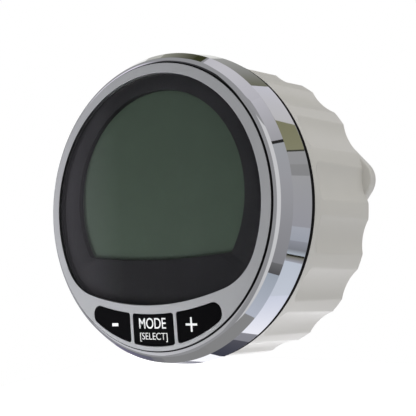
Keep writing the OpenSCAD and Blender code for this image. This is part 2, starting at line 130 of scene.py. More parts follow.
ROOM_LIGHT, FLOOR_Z, FLOOR_REACH, FLOOR_LIFT = 0.67, -0.9, 4, 0.7
WHITE = (1, 1, 1, 1)
world = bpy.data.worlds.new("white_room")
bpy.context.scene.world = world
world.use_nodes = True
sky = world.node_tree
sky.nodes.clear()
rays = add_node(sky, "ShaderNodeLightPath").outputs
seen = math_node(sky, "MAXIMUM", rays["Is Camera Ray"], rays["Is Glossy Ray"])
seen = seen.math("MAXIMUM", rays["Is Transmission Ray"])
sky_lit = add_node(sky, "ShaderNodeBackground", {"Color": WHITE, "Strength": ROOM_LIGHT})
sky_seen = add_node(sky, "ShaderNodeBackground", {"Color": WHITE, "Strength": 1.0})
sky_mix = add_node(sky, "ShaderNodeMixShader", {0: seen, 1: sky_lit.outputs[0], 2: sky_seen.outputs[0]})
add_node(sky, "ShaderNodeOutputWorld", {"Surface": sky_mix.outputs[0]})

floor_mesh = bpy.data.meshes.new("floor")
floor_mesh.from_pydata([(x * FLOOR_REACH, y * FLOOR_REACH, FLOOR_Z) for x, y in ((-1, -1), (1, -1), (1, 1), (-1, 1))],
                       [], [(0, 1, 2, 3)])
floor = add_object("floor", floor_mesh)
floor_paint, tree = new_material("pale_floor")
rays = add_node(tree, "ShaderNodeLightPath").outputs
seen = math_node(tree, "MAXIMUM", rays["Is Camera Ray"], rays["Is Glossy Ray"])
feed(tree, tree.nodes["Principled BSDF"], {
    "Base Color": (0.86, 0.86, 0.86, 1), "Roughness": 0.8, "Specular IOR Level": 0.1, "Emission Color": WHITE,
    "Emission Strength": seen * FLOOR_LIFT,
})
floor_mesh.materials.append(floor_paint)
floor.visible_glossy = floor.visible_transmission = False


# Studio lamps: soft ones high in front and high on the right, a near one on the left that
# lifts that side of the face, and one from below that picks out the nut's flutes.
def aim(direction, distance):
    """Place and turn of a lamp seen from the gauge in a direction (azimuth from +Y, elevation)."""
    azimuth, elevation = radians(direction[0]), radians(direction[1])
    way = Vector((sin(azimuth) * cos(elevation), cos(azimuth) * cos(elevation), sin(elevation)))
    return Matrix.Translation(way * distance) @ way.to_track_quat("Z", "Y").to_matrix().to_4x4()


for name, direction, distance, size, power, tint in (
    ("lamp_front_left", (-150, 45), 1.2, 0.9, 0.8, (1.0, 0.99, 0.98)),
    ("lamp_near_left", (-138, -24), 0.27, 0.1, 0.95, (0.96, 0.975, 1.0)),
    ("lamp_top_right", (80, 60), 1.3, 0.8, 3.2, (1.0, 0.98, 0.94)),
    ("lamp_under", (-90, -80), 0.8, 0.25, 3.5, (0.90, 0.91, 1.0)),
):
    lamp_data = bpy.data.lights.new(name, "AREA")
    lamp_data.shape = "SQUARE"
    lamp_data.size = size
    lamp_data.energy = power
    lamp_data.color = tint
    lamp = add_object(name, lamp_data)
    lamp.matrix_world = aim(direction, distance)
    lamp.visible_glossy = lamp.visible_camera = False

# Studio tent and cards that only reflections see: a grey tent, and in it grey panels, dark
# flags and small windows. Each card covers a span of azimuth and of elevation round the
# gauge, and fades from its first tone to its second, upwards or across.
TENT_FAR, CARD_FAR, CARD_STEP = 4.0, 3.0, 4


def hang_card(name, left, right, low, high, tone, far_tone=None, fades="up"):
    """Card over a span of azimuth and one of elevation, in degrees, with its tone at each point."""
    distance = TENT_FAR if name == "tent" else CARD_FAR
    far_tone = far_tone or tone
    across, up = (max(2, ceil(span / CARD_STEP)) for span in (right - left, high - low))
    points, tones = [], []
    for j in range(up + 1):
        for i in range(across + 1):
            azimuth, elevation = radians(left + (right - left) * i / across), radians(low + (high - low) * j / up)
            points.append((distance * sin(azimuth) * cos(elevation), distance * cos(azimuth) * cos(elevation),
                           distance * sin(elevation)))
            share = j / up if fades == "up" else i / across
            tones.append([a + (b - a) * share for a, b in zip(tone, far_tone)])
    row = across + 1
    card_mesh = bpy.data.meshes.new(name)
    card_mesh.from_pydata(points, [], [(j * row + i, j * row + i + 1, (j + 1) * row + i + 1, (j + 1) * row + i)
                                       for j in range(up) for i in range(across)])
    shade = card_mesh.color_attributes.new("tone", "FLOAT_COLOR", "POINT")
    for dot, colour in zip(shade.data, tones):
        dot.color = (*colour, 1)
    card = add_object(name, card_mesh)
    paint, tree = new_material(name)
    tree.nodes.clear()
    shade_in = add_node(tree, "ShaderNodeAttribute", attribute_name="tone")
    glow = add_node(tree, "ShaderNodeEmission", {"Color": shade_in.outputs["Color"]})
    add_node(tree, "ShaderNodeOutputMaterial", {"Surface": glow.outputs[0]})
    card_mesh.materials.append(paint)
    card.visible_camera = card.visible_diffuse = card.visible_shadow = False


for card in (
    ("tent", -180, 180, -90, 90, (0.30, 0.30, 0.31)),
    ("floor_light", -6, 30, -62, -39.5, (0.93, 0.93, 1.0), (0.66, 0.69, 0.80), "across"),
    ("floor_light_right", 30, 75, -62, -30, (0.66, 0.69, 0.78), (0.54, 0.585, 0.66)),
    ("back_skirting", 30, 75, -30, -27.6, (0.36, 0.37, 0.42), (0.17, 0.165, 0.13)),
    ("back_line", 30, 75, -27.6, -26.7, (0.03, 0.03, 0.022)),
    ("back_glow", 30, 75, -26.7, -24.5, (0.44, 0.49, 0.55), (0.24, 0.25, 0.275)),
    ("back_low", 30, 75, -24.5, -20.3, (0.22, 0.23, 0.255), (0.29, 0.30, 0.34)),
    ("back_low_wall", 30, 75, -20.3, -13.5, (0.36, 0.38, 0.43), (0.40, 0.415, 0.465)),
    ("back_middle", 30, 75, -13.5, 11.5, (0.33, 0.33, 0.36), (0.36, 0.36, 0.37)),
    ("back_rail", 30, 75, 11.5, 17, (0.26, 0.26, 0.265), (0.27, 0.27, 0.27)),
    ("back_upper", 30, 75, 17, 23.2, (0.31, 0.31, 0.315), (0.32, 0.32, 0.325)),
    ("back_sill", 38, 75, 23.2, 24, (0.05, 0.05, 0.04)),
    ("back_window", 38, 75, 24, 60, (0.24, 0.235, 0.15), (0.17, 0.165, 0.09)),
    ("back_top", 9.6, 38, 24, 60, (0.58, 0.575, 0.63), (0.53, 0.52, 0.53), "across"),
    ("top_window", -8, 9.6, 34, 60, (0.25, 0.25, 0.235), (0.15, 0.15, 0.11), "across"),
    ("top_panel", -27, -8, 34, 60, (0.34, 0.34, 0.33), (0.25, 0.25, 0.235), "across"),
    ("left_window", -33, -27, 20, 45, (0.80, 0.80, 0.78), (0.68, 0.68, 0.66), "across"),
    ("low_step", -14.5, -6, -62, -39, (0.26, 0.26, 0.29), (0.27, 0.27, 0.30), "across"),
    ("low_flag", -31, -14.5, -62, -35, (0.045, 0.048, 0.07), (0.09, 0.09, 0.11), "across"),
    ("low_lamp", -46, -31, -43, -25.5, (1.05, 1.05, 1.1)),
    ("low_rail", -46, -31, -25.5, -20.5, (0.28, 0.28, 0.33)),
    ("low_panel", -46, -31, -20.5, 0, (0.58, 0.58, 0.62), (0.62, 0.62, 0.66)),
    ("left_panel", -80, -46, -14, 20, (0.45, 0.45, 0.48), (0.5, 0.5, 0.53)),
    ("left_violet", -80, -46, -36, -14, (0.13, 0.13, 0.17), (0.18, 0.165, 0.25)),
    ("left_low", -80, -46, -43, -36, (0.20, 0.20, 0.21), (0.18, 0.18, 0.20)),
    ("right_low", 75, 104, -72.5, -44.5, (0.49, 0.52, 0.60), (0.36, 0.40, 0.46)),
    ("right_bar", 75, 104, -44.5, -38, (0.09, 0.09, 0.095), (0.16, 0.16, 0.165)),
    ("right_wall", 75, 104, -38, 10, (0.25, 0.25, 0.265), (0.345, 0.345, 0.365)),
    ("right_middle", 75, 104, 10, 31, (0.345, 0.345, 0.365), (0.36, 0.37, 0.39)),
    ("right_line", 75, 104, 31, 32.8, (0.02, 0.02, 0.02)),
    ("right_upper", 75, 104, 32.8, 60, (0.37, 0.365, 0.385), (0.52, 0.51, 0.55)),
    ("right_front", 104, 150, -75, 42, (0.60, 0.60, 0.61), (0.62, 0.62, 0.63)),
    ("right_front_end", 150, 180, -75, 42, (0.28, 0.28, 0.29)),
    ("down_card", -180, 180, -90, -72.5, (0.25, 0.25, 0.25)),
    ("low_left", -80, -46, -72.5, -43, (0.24, 0.24, 0.24), (0.24, 0.24, 0.245)),
    ("top_card", -28, 130, 60, 90, (0.50, 0.49, 0.53), (0.62, 0.61, 0.64)),
    ("top_flag", -60, -28, 66, 71, (0.038, 0.040, 0.018)),
    ("top_left", -60, -28, 46, 66, (0.27, 0.27, 0.23), (0.06, 0.06, 0.035)),
    ("top_left_panel", -60, -33, 37, 46, (0.46, 0.46, 0.44), (0.50, 0.50, 0.46)),
    ("left_window_low", -60, -33, 20, 37, (1.0, 1.0, 1.0), (0.86, 0.86, 0.85)),
    ("front_left_low", -142, -108, -50, -17, (0.50, 0.50, 0.52), (0.62, 0.62, 0.65), "across"),
    ("front_left", -142, -108, -17, -7, (0.03, 0.03, 0.03), (0.16, 0.16, 0.17), "across"),
    ("front_left_far", -122, -108, -7, 50, (0.75, 0.72, 0.82), (0.85, 0.81, 0.92), "across"),
    ("front_left_high", -135, -122, -7, 50, (0.06, 0.06, 0.06), (0.75, 0.72, 0.82), "across"),
    ("front_high", -142, -135, -7, 50, (0.05, 0.05, 0.05), (0.05, 0.05, 0.05), "across"),
    ("front_low", -168, -142, -50, -14, (0.42, 0.42, 0.43), (0.50, 0.50, 0.52), "across"),
    ("front", -168, -142, -14, 50, (0.015, 0.015, 0.015), (0.06, 0.06, 0.065), "across"),
    ("back_left", -31, -6, -35, 20, (1.2, 1.2, 1.25), (1.0, 1.0, 1.0)),
):
    hang_card(*card)


# Chrome bezel: one turned ring with a crease between its two bands and a rolled lip round
# the face plate, plated and polished. It snaps over the case's front flange.
def finish_group(name):
    """Node group that varies a colour, a roughness and the surface height with two noises."""
    group = bpy.data.node_groups.new(name, "ShaderNodeTree")
    numbers = ("Mottle", "Roughness", "Rough Spread", "Grain Size", "Grain Depth")
    for side, kind, labels in (("INPUT", "Color", ("Colour",)), ("INPUT", "Float", numbers),
                               ("OUTPUT", "Color", ("Colour",)), ("OUTPUT", "Float", ("Roughness",)),
                               ("OUTPUT", "Vector", ("Normal",))):
        for label in labels:
            group.interface.new_socket(name=label, in_out=side, socket_type=f"NodeSocket{kind}")
    given = add_node(group, "NodeGroupInput").outputs
    mottle, roughness, spread, grain_mm, depth = (Term(group, given[label]) for label in numbers)
    place = add_node(group, "ShaderNodeTexCoord").outputs["Object"]
    patch = add_node(group, "ShaderNodeTexNoise", {"Vector": place, "Scale": 90, "Detail": 4}).outputs["Fac"]
    grain = add_node(group, "ShaderNodeTexNoise", {"Vector": place, "Scale": 1 / MM / grain_mm, "Detail": 2})
    swing = add_node(group, "ShaderNodeMapRange", {
        "Value": patch, "From Min": 0.3, "From Max": 0.7, "To Min": 1 - mottle, "To Max": mottle + 1})
    tint = add_node(group, "ShaderNodeHueSaturation", {"Color": given["Colour"], "Value": swing.outputs["Result"]})
    varied = (Term(group, patch) - 0.5).math("MULTIPLY_ADD", spread, roughness)
    height = Term(group, grain.outputs["Fac"]) * depth
    bump = add_node(group, "ShaderNodeBump", {"Distance": MM, "Height": height})
    add_node(group, "NodeGroupOutput", {
        "Colour": tint.outputs["Color"], "Roughness": varied, "Normal": bump.outputs["Normal"]})
    return group


surface_grain = finish_group("surface_grain")


def make_finish(name, colour, roughness, mottle=0.04, rough_spread=0.1, grain_mm=0.4, depth=0.01, metallic=0.0,
                specular=0.5):
    """Material whose colour, roughness and normal come from the grain group."""
    material, tree = new_material(name)
    varied = add_node(tree, "ShaderNodeGroup", {
        "Colour": (*colour, 1), "Mottle": mottle, "Roughness": roughness, "Rough Spread": rough_spread,
        "Grain Size": grain_mm, "Grain Depth": depth,
    }, node_tree=surface_grain).outputs
    feed(tree, tree.nodes["Principled BSDF"], {
        "Base Color": varied["Colour"], "Roughness": varied["Roughness"], "Normal": varied["Normal"],
        "Metallic": metallic, "Specular IOR Level": specular,
    })
    return material


def arc(centre, radius, start, end, steps):
    """Points of an arc in degrees, ends included."""
    return [(centre[0] + radius * cos(radians(start + (end - start) * k / steps)),
             centre[1] + radius * sin(radians(start + (end - start) * k / steps))) for k in range(steps + 1)]


def round_corners(outline, radii):
    """Closed outline with each corner that radii names, by its index, turned into a small arc.

    A point 0.1 mm beyond each end of the arc keeps the shading of the straight parts flat."""
    points = []
    for k, corner in enumerate(outline):
        radius = radii.get(k, 0)
        here = Vector(corner)
        if not radius:
            points.append(tuple(here))
            continue
        back = (Vector(outline[k - 1]) - here).normalized()
        ahead = (Vector(outline[(k + 1) % len(outline)]) - here).normalized()
        half = back.angle(ahead) / 2
        start, end = here + back * radius / tan(half), here + ahead * radius / tan(half)
        centre = here + (back + ahead).normalized() * radius / sin(half)
        a, b = start - centre, end - centre
        sweep = a.angle_signed(b)
        points.append(tuple(start + back * 0.1))
        points += [tuple(centre + Matrix.Rotation(-sweep * step / 6, 2) @ a) for step in range(7)]
        points.append(tuple(end + ahead * 0.1))
    return points


def put_piece(name, mesh, material, slot="", *nodes, body="gauge"):
    """Object of a finished mesh, with its material, the CAD nodes that it stands for and its body. Its record slot is
    not used.
    """
    mesh.name = name
    piece = add_object(name, mesh)
    mesh.materials.clear()
    mesh.materials.append(material)
    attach(piece, body)
    if nodes:
        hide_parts(*nodes)


def smooth_sides(mesh, angle=32, keep_flats=False):
    """Smooth shading up to an angle. keep_flats keeps the rounded edges' shading off the flat front and back."""
    mesh.shade_smooth()
    mesh.set_sharp_from_angle(angle=radians(angle))
    if not keep_flats:
        return
    sides = {}
    for face in mesh.polygons:
        for key in face.edge_keys:
            sides.setdefault(key, set()).add(abs(face.normal.y) > 0.9999)
    for edge in mesh.edges:
        if len(sides.get(edge.key, ())) == 2:
            edge.use_edge_sharp = True


def ring_skin(rings, closed=True, angle=32):
    """Smooth skin through rings of points in mm. A ring of one point closes it there."""
    mesh = bpy.data.meshes.new("skin")
    bm = bmesh.new()
    rings = [[bm.verts.new((x * MM, y * MM, z * MM)) for x, y, z in ring] for ring in rings]
    for ring, after in zip(rings, rings[1:] + rings[:1] if closed else rings[1:]):
        for k in range(max(len(ring), len(after))):
            here, ahead = ([loop[i % len(loop)] for i in (k, k + 1)] for loop in (ring, after))
            corners = dict.fromkeys((*here, *reversed(ahead)))
            if len(corners) > 2:
                bm.faces.new(tuple(corners))
    bmesh.ops.recalc_face_normals(bm, faces=bm.faces)
    bm.to_mesh(mesh)
    bm.free()
    smooth_sides(mesh, angle)
    return mesh


def turn_mesh(outline, steps=192, centre=(0, 0), closed=True):
    """Ring or plug turned about the Y axis at centre (x, z), from an outline of (radius, y) in mm."""
    return ring_skin([[(centre[0] + radius * cos(2 * pi * k / steps), y, centre[1] + radius * sin(2 * pi * k / steps))
                       for k in range(steps if radius > 1e-6 else 1)] for radius, y in outline], closed)


BEZEL_R, CREASE_R, LIP_IN, WALL_IN, SKIRT_IN, HOOK_R = 50.0, 48.16, 44.5, 45.3, 47.5, 46.8
BEZEL_BACK, CREASE_Y, LIP_BACK, SHOULDER_Y, HOOK_Y = -1.5, -9.7, -11.9, -5.2, -2.0
BACK_BREAK, BAND_END, ROLL_AT, ROLL_R = (0.4, 0.5), (46.11, -12.47), (43.92, -10.76), 2.785
bezel_outline = round_corners([
    (HOOK_R, BEZEL_BACK), (BEZEL_R - BACK_BREAK[0], BEZEL_BACK), (BEZEL_R, BEZEL_BACK - BACK_BREAK[1]),
    (CREASE_R, CREASE_Y), BAND_END, *arc(ROLL_AT, ROLL_R, -40, -80, 14), (LIP_IN, LIP_BACK), (WALL_IN, LIP_BACK),
    (WALL_IN, SHOULDER_Y), (SKIRT_IN, SHOULDER_Y), (SKIRT_IN, HOOK_Y), (HOOK_R, HOOK_Y),
], {1: 0.12, 2: 0.12, 3: 0.14})
chrome = make_finish("polished_chrome", (0.88, 0.885, 0.90), 0.03, mottle=0.01, rough_spread=0.03, grain_mm=6,
                     depth=0.0006, metallic=1.0)
put_piece("bezel_ring", turn_mesh(bezel_outline, 320), chrome, "chrome", "chrome_bezel")


# Face plate: flat black plastic with a satin grey front, the window and three button
# openings cut through it. Its stepped rim is held behind the bezel's lip, and its front
# stands a hair proud of the lip.
WINDOW_R, WINDOW_LOW, WINDOW_LOW_R, WINDOW_CORNER = 41.0, 30.4, 92.0, 17.0
FACE_Y, PLATE_T = -14.1, 2.2
ROW_TOP, ROW_TOP_R, ROW_LOW, ROW_LOW_R = 33.0, 85.0, 42.6, 44.15
MODE_X, SIDE_X, ROW_REACH, ROW_END_R, SLOT_CORNER = 8.1, 9.3, 25.4, 2.7, 0.8
PAINT_R, STEP_R, RIM_R, RIM_IN, RIM_EDGE, RIM_STEP, PLATE_EDGE = 43.95, 43.97, 44.42, 43.5, 0.15, 1.9, 0.12
PAINT_LEAN = 0.45


def round_outline(centre, radius, steps):
    """Points of a full circle."""
    return arc(centre, radius, 0, 360, steps)[:-1]


def window_outline(grow=0.0):
    """Window: a circle and a flat lower arc, with a tangent corner arc between them on each side."""
    near, far = WINDOW_R - WINDOW_CORNER, WINDOW_LOW_R - WINDOW_CORNER
    low_up = WINDOW_LOW_R - WINDOW_LOW
    corner_z = (low_up**2 - far**2 + near**2) / (2 * low_up)
    corner_x = sqrt(near**2 - corner_z**2)
    top, low = degrees(atan2(corner_z, corner_x)), degrees(atan2(corner_z - low_up, corner_x))
    corner = WINDOW_CORNER + grow
    return (arc((0, 0), WINDOW_R + grow, top, 180 - top, 150)[:-1]
            + arc((-corner_x, corner_z), corner, 180 - top, 180 - low, 24)[:-1]
            + arc((0, low_up), WINDOW_LOW_R + grow, -180 - low, low, 24)[:-1]
            + arc((corner_x, corner_z), corner, low, top, 24)[:-1])


def slot_outline(left, right, left_r, right_r, grow=0.0):
    """Button opening between the row's top and bottom arcs and two upright sides, corners rounded."""
    top_c, top_r = (0, ROW_TOP_R - ROW_TOP), ROW_TOP_R - grow
    low_c, low_r = (0, ROW_LOW_R - ROW_LOW), ROW_LOW_R + grow
    left_r, right_r = left_r + grow, right_r + grow
    left_x, right_x = left - grow + left_r, right + grow - right_r

    def top_corner(x, radius):
        z = top_c[1] - sqrt((top_r + radius)**2 - x**2)
        return (x, z), degrees(atan2(top_c[1] - z, -x))

    def low_corner(x, radius):
        z = low_c[1] - sqrt((low_r - radius)**2 - x**2)
        return (x, z), degrees(atan2(z - low_c[1], x))

    def edge(centre, radius, start, end):
        start, end = (degrees(atan2(z - centre[1], x)) for x, z in (start, end))
        return arc(centre, radius, start, end, 20)[1:-1]

    (top_right, lean_1), (top_left, lean_2) = top_corner(right_x, right_r), top_corner(left_x, left_r)
    (low_left, lean_3), (low_right, lean_4) = low_corner(left_x, left_r), low_corner(right_x, right_r)
    points = []
    for point in (*arc(top_right, right_r, 0, lean_1, 10), *edge(top_c, top_r, top_right, top_left),
                  *arc(top_left, left_r, lean_2, 180, 10), *arc(low_left, left_r, 180, 360 + lean_3, 10),
                  *edge(low_c, low_r, low_left, low_right), *arc(low_right, right_r, lean_4, 0, 10)):
        if not points or (Vector(point) - Vector(points[-1])).length > 0.01:
            points.append(point)
    if (Vector(points[0]) - Vector(points[-1])).length < 0.01:
        points.pop()
    return points


def mode_outline(grow=0.0):
    return slot_outline(-MODE_X, MODE_X, SLOT_CORNER, SLOT_CORNER, grow)


def plus_outline(grow=0.0):
    return slot_outline(SIDE_X, ROW_REACH, SLOT_CORNER, ROW_END_R, grow)


def minus_outline(grow=0.0):
    return [(-x, z) for x, z in reversed(plus_outline(grow))]


def plain_mesh(carrier):
    """Plain mesh of an object as its modifiers and curves make it. The object itself goes."""
    mesh = bpy.data.meshes.new_from_object(carrier.evaluated_get(bpy.context.evaluated_depsgraph_get()))
    bpy.data.objects.remove(carrier)
    return mesh


def clean_mesh(mesh, gap=0.0):
    """Joins points that are closer than gap, in metres, and turns every face outwards."""
    bm = bmesh.new()
    bm.from_mesh(mesh)
    if gap:
        bmesh.ops.remove_doubles(bm, verts=bm.verts, dist=gap)
    bmesh.ops.recalc_face_normals(bm, faces=bm.faces)
    bm.to_mesh(mesh)
    bm.free()


def flat_mesh(outlines, y, half=0.0, edge=0.0):
    """Filled flat face at y, from outlines in mm seen from the front. Holes are outlines.

    With half it is a slab that reaches that far to each side of y, its edges rounded by edge."""
    curve = bpy.data.curves.new("outline", "CURVE")
    curve.dimensions = "2D"
    curve.fill_mode = "BOTH"
    if half:
        curve.bevel_depth = edge * MM
        curve.bevel_resolution = 3
        curve.offset = -edge * MM
        curve.extrude = (half - edge) * MM
    for outline in outlines:
        spline = curve.splines.new("POLY")
        spline.points.add(len(outline) - 1)
        for point, (x, z) in zip(spline.points, outline):
            point.co = (x * MM, z * MM, 0, 1)
        spline.use_cyclic_u = True
    mesh = plain_mesh(add_object("outline", curve))
    mesh.transform(Matrix.Translation((0, y * MM, 0)) @ Matrix.Rotation(pi / 2, 4, "X"))
    return mesh


def slab_mesh(outlines, front, back, edge):
    """Flat piece between two planes, with rounded edges and flat shading on its front and back."""
    mesh = flat_mesh(outlines, (front + back) / 2, (back - front) / 2, edge)
    clean_mesh(mesh, 1e-6)
    smooth_sides(mesh, keep_flats=True)
    return mesh


def merge_meshes(parts):
    """One mesh of several parts, whose own meshes go."""
    bm = bmesh.new()
    for part in parts:
        bm.from_mesh(part)
        bpy.data.meshes.remove(part)
    mesh = bpy.data.meshes.new("merged")
    bm.to_mesh(mesh)
    bm.free()
    smooth_sides(mesh, keep_flats=True)
    return mesh


black_plastic = make_finish("black_plastic", (0.012, 0.012, 0.013), 0.45, mottle=0.06, grain_mm=0.25, depth=0.004,
                            specular=0.3)
satin = make_finish("satin_paint", (0.40, 0.404, 0.413), 0.34, mottle=0.02, grain_mm=0.12, depth=0.003, metallic=0.5)
plate_back = FACE_Y + PLATE_T
plate_mesh = merge_meshes([
    slab_mesh([
        round_outline((0, 0), PAINT_R, 256), window_outline(), mode_outline(), plus_outline(), minus_outline(),
    ], FACE_Y, plate_back, PLATE_EDGE),
    turn_mesh([
        (RIM_IN, FACE_Y + RIM_EDGE), (PAINT_R, FACE_Y + RIM_EDGE), (STEP_R, FACE_Y + RIM_STEP),
        (RIM_R, FACE_Y + RIM_STEP), (RIM_R, plate_back), (RIM_IN, plate_back),
    ], 256),
])
put_piece("front_plate", plate_mesh, satin, "satin_grey", "face_plate")
# only the front is painted satin; the stepped rim, the cut edges and the back show the black moulding, which also
# stands in as painted shade for the dark groove round the plate and the dark walls of the window and the button
# openings
plate_mesh.materials.append(black_plastic)
for face in plate_mesh.polygons:
    inside = Vector((face.center.x, face.center.z)).length < (PAINT_R - 0.01) * MM
    painted = inside and face.normal.y < -PAINT_LEAN
    face.material_index = 0 if painted else 1

# Lens: a flat clear plate set a little below the face. Its edge is held against the back
# of the plate on a thin seal of black rubber.
LENS_Y, LENS_BACK, MASK_Y, LENS_OVER, SEAL_OVER, SEAL_IN = -13.5, -11.5, -11.1, 1.1, 1.0, 0.05
lens_glass, tree = new_material("clear_lens")
lens_shader = feed(tree, tree.nodes["Principled BSDF"], {
    "Base Color": WHITE, "Roughness": 0.0, "Transmission Weight": 1.0, "IOR": 1.46})
# light reaches the display straight through it
rays = add_node(tree, "ShaderNodeLightPath").outputs
lets = math_node(tree, "MAXIMUM", rays["Is Shadow Ray"], rays["Is Diffuse Ray"])
lens_open = add_node(tree, "ShaderNodeBsdfTransparent", {"Color": (0.92, 0.92, 0.92, 1)})
lens_mix = add_node(tree, "ShaderNodeMixShader", {0: lets, 1: lens_shader.outputs[0], 2: lens_open.outputs[0]})
feed(tree, tree.nodes["Material Output"], {"Surface": lens_mix.outputs[0]})
put_piece("lens", slab_mesh([window_outline(LENS_OVER)], LENS_Y, LENS_BACK, 0.1), lens_glass, "clear_lens",
          "window_lens")
black_rubber = make_finish("black_rubber", (0.006, 0.006, 0.006), 0.7, grain_mm=0.3, depth=0.006, specular=0.05)
put_piece("lens_gasket", slab_mesh([window_outline(SEAL_OVER), window_outline(SEAL_IN)], LENS_BACK, MASK_Y, 0.05),
          black_rubber, "black_rubber", "lens_seal")

# Display mask: black moulding behind the lens, dished from the window's edge down to the
# round opening that shows the display, whose lower side is cut flat and slightly tilted.
DISPLAY_R, DISPLAY_UP, DISPLAY_LOW, DISPLAY_TILT, DISPLAY_BOW, BOW_R = 34.0, 2.8, 18.8, radians(-2.7), 0.85, 280.0
DISH_Y, DISH_STEP, DISH_OVER, GLASS_Y, MASK_BASE, MASK_OVER, MASK_R = -9.7, 0.1, 0.15, -7.9, -9.4, 1.0, 43.4


def ray_length(outline, angle):
    """Distance from the middle to a closed outline along an angle."""
    way = Vector((cos(angle), sin(angle)))
    best = 0.0
    for a, b in zip(outline, outline[1:] + outline[:1]):
        a, b = Vector(a), Vector(b)
        edge = b - a
        cross = way.x * edge.y - way.y * edge.x
        if abs(cross) < 1e-12:
            continue
        along = (a.x * edge.y - a.y * edge.x) / cross
        part = (a.x * way.y - a.y * way.x) / cross
        if along > 0 and -1e-9 <= part <= 1 + 1e-9:
            best = max(best, along)
    return best


def tilt(outline):
    """Outline round the display's centre, tilted and lifted to its place."""
    return [(x * cos(DISPLAY_TILT) - z * sin(DISPLAY_TILT), x * sin(DISPLAY_TILT) + z * cos(DISPLAY_TILT) + DISPLAY_UP)
            for x, z in outline]


def display_outline(radius, low):
    """Circle round the display's centre, cut by its lower edge."""
    side = degrees(asin(low / radius))
    return tilt(arc((0, 0), radius, -side, 180 + side, 200))


def opening_outline(grow=0.0):
    """Opening of the mask: a circle whose lower side is a flat arc that bows down."""
    radius, bow_r, bow_up = DISPLAY_R + grow, BOW_R + grow, BOW_R - DISPLAY_LOW - DISPLAY_BOW
    z = (radius**2 - bow_r**2 + bow_up**2) / (2 * bow_up)
    side, bow = degrees(asin(z / radius)), degrees(atan2(z - bow_up, sqrt(radius**2 - z**2)))
    return tilt(arc((0, 0), radius, side, 180 - side, 200)[:-1] + arc((0, bow_up), bow_r, -180 - bow, bow, 24)[:-1])


def loft_mesh(rings, steps=360):
    """Closed skin through rings of (outline, y), each met by the same rays from the middle."""
    angles = [2 * pi * k / steps for k in range(steps)]
    lengths = [[ray_length(outline, angle) for angle in angles] for outline, y in rings]
    return ring_skin([[(length * cos(angle), y, length * sin(angle)) for length, angle in zip(row, angles)]
                      for row, (outline, y) in zip(lengths, rings)], angle=25)


mask_edge, display_edge = round_outline((0, 0), MASK_R, 360), opening_outline()
mask_black = make_finish("mask_black", (0.0085, 0.0085, 0.0096), 0.55, mottle=0.05, grain_mm=0.25, depth=0.0,
                         specular=0.06)
put_piece("mask", loft_mesh([
    (window_outline(MASK_OVER), MASK_Y), (window_outline(), MASK_Y),
    (opening_outline(DISH_OVER), DISH_Y), (display_edge, DISH_Y + DISH_STEP),
    (display_edge, GLASS_Y), (mask_edge, GLASS_Y), (mask_edge, MASK_BASE), (window_outline(MASK_OVER), MASK_BASE),
]), mask_black, "black_plastic", "display_mask")

# Display: two round glasses with a flat lower side, the rear one longer for the contacts.
# Unlit, its polariser looks a dull dark green.
lcd_finish = make_finish("unlit_display", (0.036, 0.052, 0.038), 0.32, mottle=0.04, grain_mm=0.3, depth=0.0,
                         specular=0.12)
GUIDE_Y, GLASS_T, GLASS_R = -5.7, 1.1, 35.6
for name, low, front, back in (("display_glass", 20.4, GLASS_Y, GLASS_Y + GLASS_T),
                               ("display_rear_glass", 23.9, GLASS_Y + GLASS_T, GUIDE_Y)):
    put_piece(name, slab_mesh([display_outline(GLASS_R, low)], front, back, 0.05), lcd_finish, "display_glass",
              "lcd_panel")

# Buttons: three caps of near-black plastic with softly rounded edges, one body each, guided
# by the openings. The pale legends are printed on them: a minus, a plus and two plain words.
CAP_FRONT, CAP_BACK, FLANGE_BACK, STEM_END, STEM_R = -13.9, -11.7, -10.9, -7.4, 1.5
CAP_GAP, CAP_EDGE, FLANGE_W, STEM_ROOT = 0.2, 0.3, 0.35, 0.1
key_black = make_finish("key_black", (0.0018, 0.0018, 0.0021), 0.4, mottle=0.06, grain_mm=0.2, depth=0.004,
                        specular=0.05)
legend_white = make_finish("legend_white", (0.62, 0.62, 0.62), 0.5, mottle=0.03, grain_mm=0.2, depth=0.002)
# each key is its cap, the flange that holds it behind the plate, and the stem that reaches the switch
for name, outline, stem_at in (("mode", mode_outline, (0, -36.5)), ("plus", plus_outline, (16, -34.8)),
                               ("minus", minus_outline, (-16, -34.8))):
    stem_y = FLANGE_BACK - STEM_ROOT
    stem = [(0, stem_y), (STEM_R, stem_y), (STEM_R, STEM_END), (0, STEM_END)]
    key_mesh = merge_meshes([
        slab_mesh([outline(-CAP_GAP)], CAP_FRONT, CAP_BACK + CAP_EDGE, CAP_EDGE),
        slab_mesh([outline(FLANGE_W)], CAP_BACK, FLANGE_BACK, 0.05),
        turn_mesh(stem, 32, stem_at),
    ])
    put_piece(f"{name}_cap", key_mesh, key_black, "button_black", f"{name}_button", body=f"{name}_key")


def bar(wide, high):
    """Rectangle round its middle."""
    x, z = wide / 2, high / 2
    return [(-x, -z), (x, -z), (x, z), (-x, z)]


def cross(reach, stroke):
    """Plus sign round its middle."""
    a, b = reach / 2, stroke / 2
    return [(a, -b), (a, b), (b, b), (b, a), (-b, a), (-b, b), (-a, b), (-a, -b), (-b, -b), (-b, -a), (b, -a), (b, -b)]


LEGEND_FRONT, LEGEND_BACK = CAP_FRONT - 0.03, CAP_FRONT + 0.05
for name, shape, at in (("minus", bar(2.7, 0.95), (-16.1, -36.15)), ("plus", cross(4.1, 0.62), (14.5, -36.1))):
    legend_mesh = slab_mesh([[(at[0] + x, at[1] + z) for x, z in shape]], LEGEND_FRONT, LEGEND_BACK, 0.01)
    put_piece(f"{name}_legend", legend_mesh, legend_white, body=f"{name}_key")


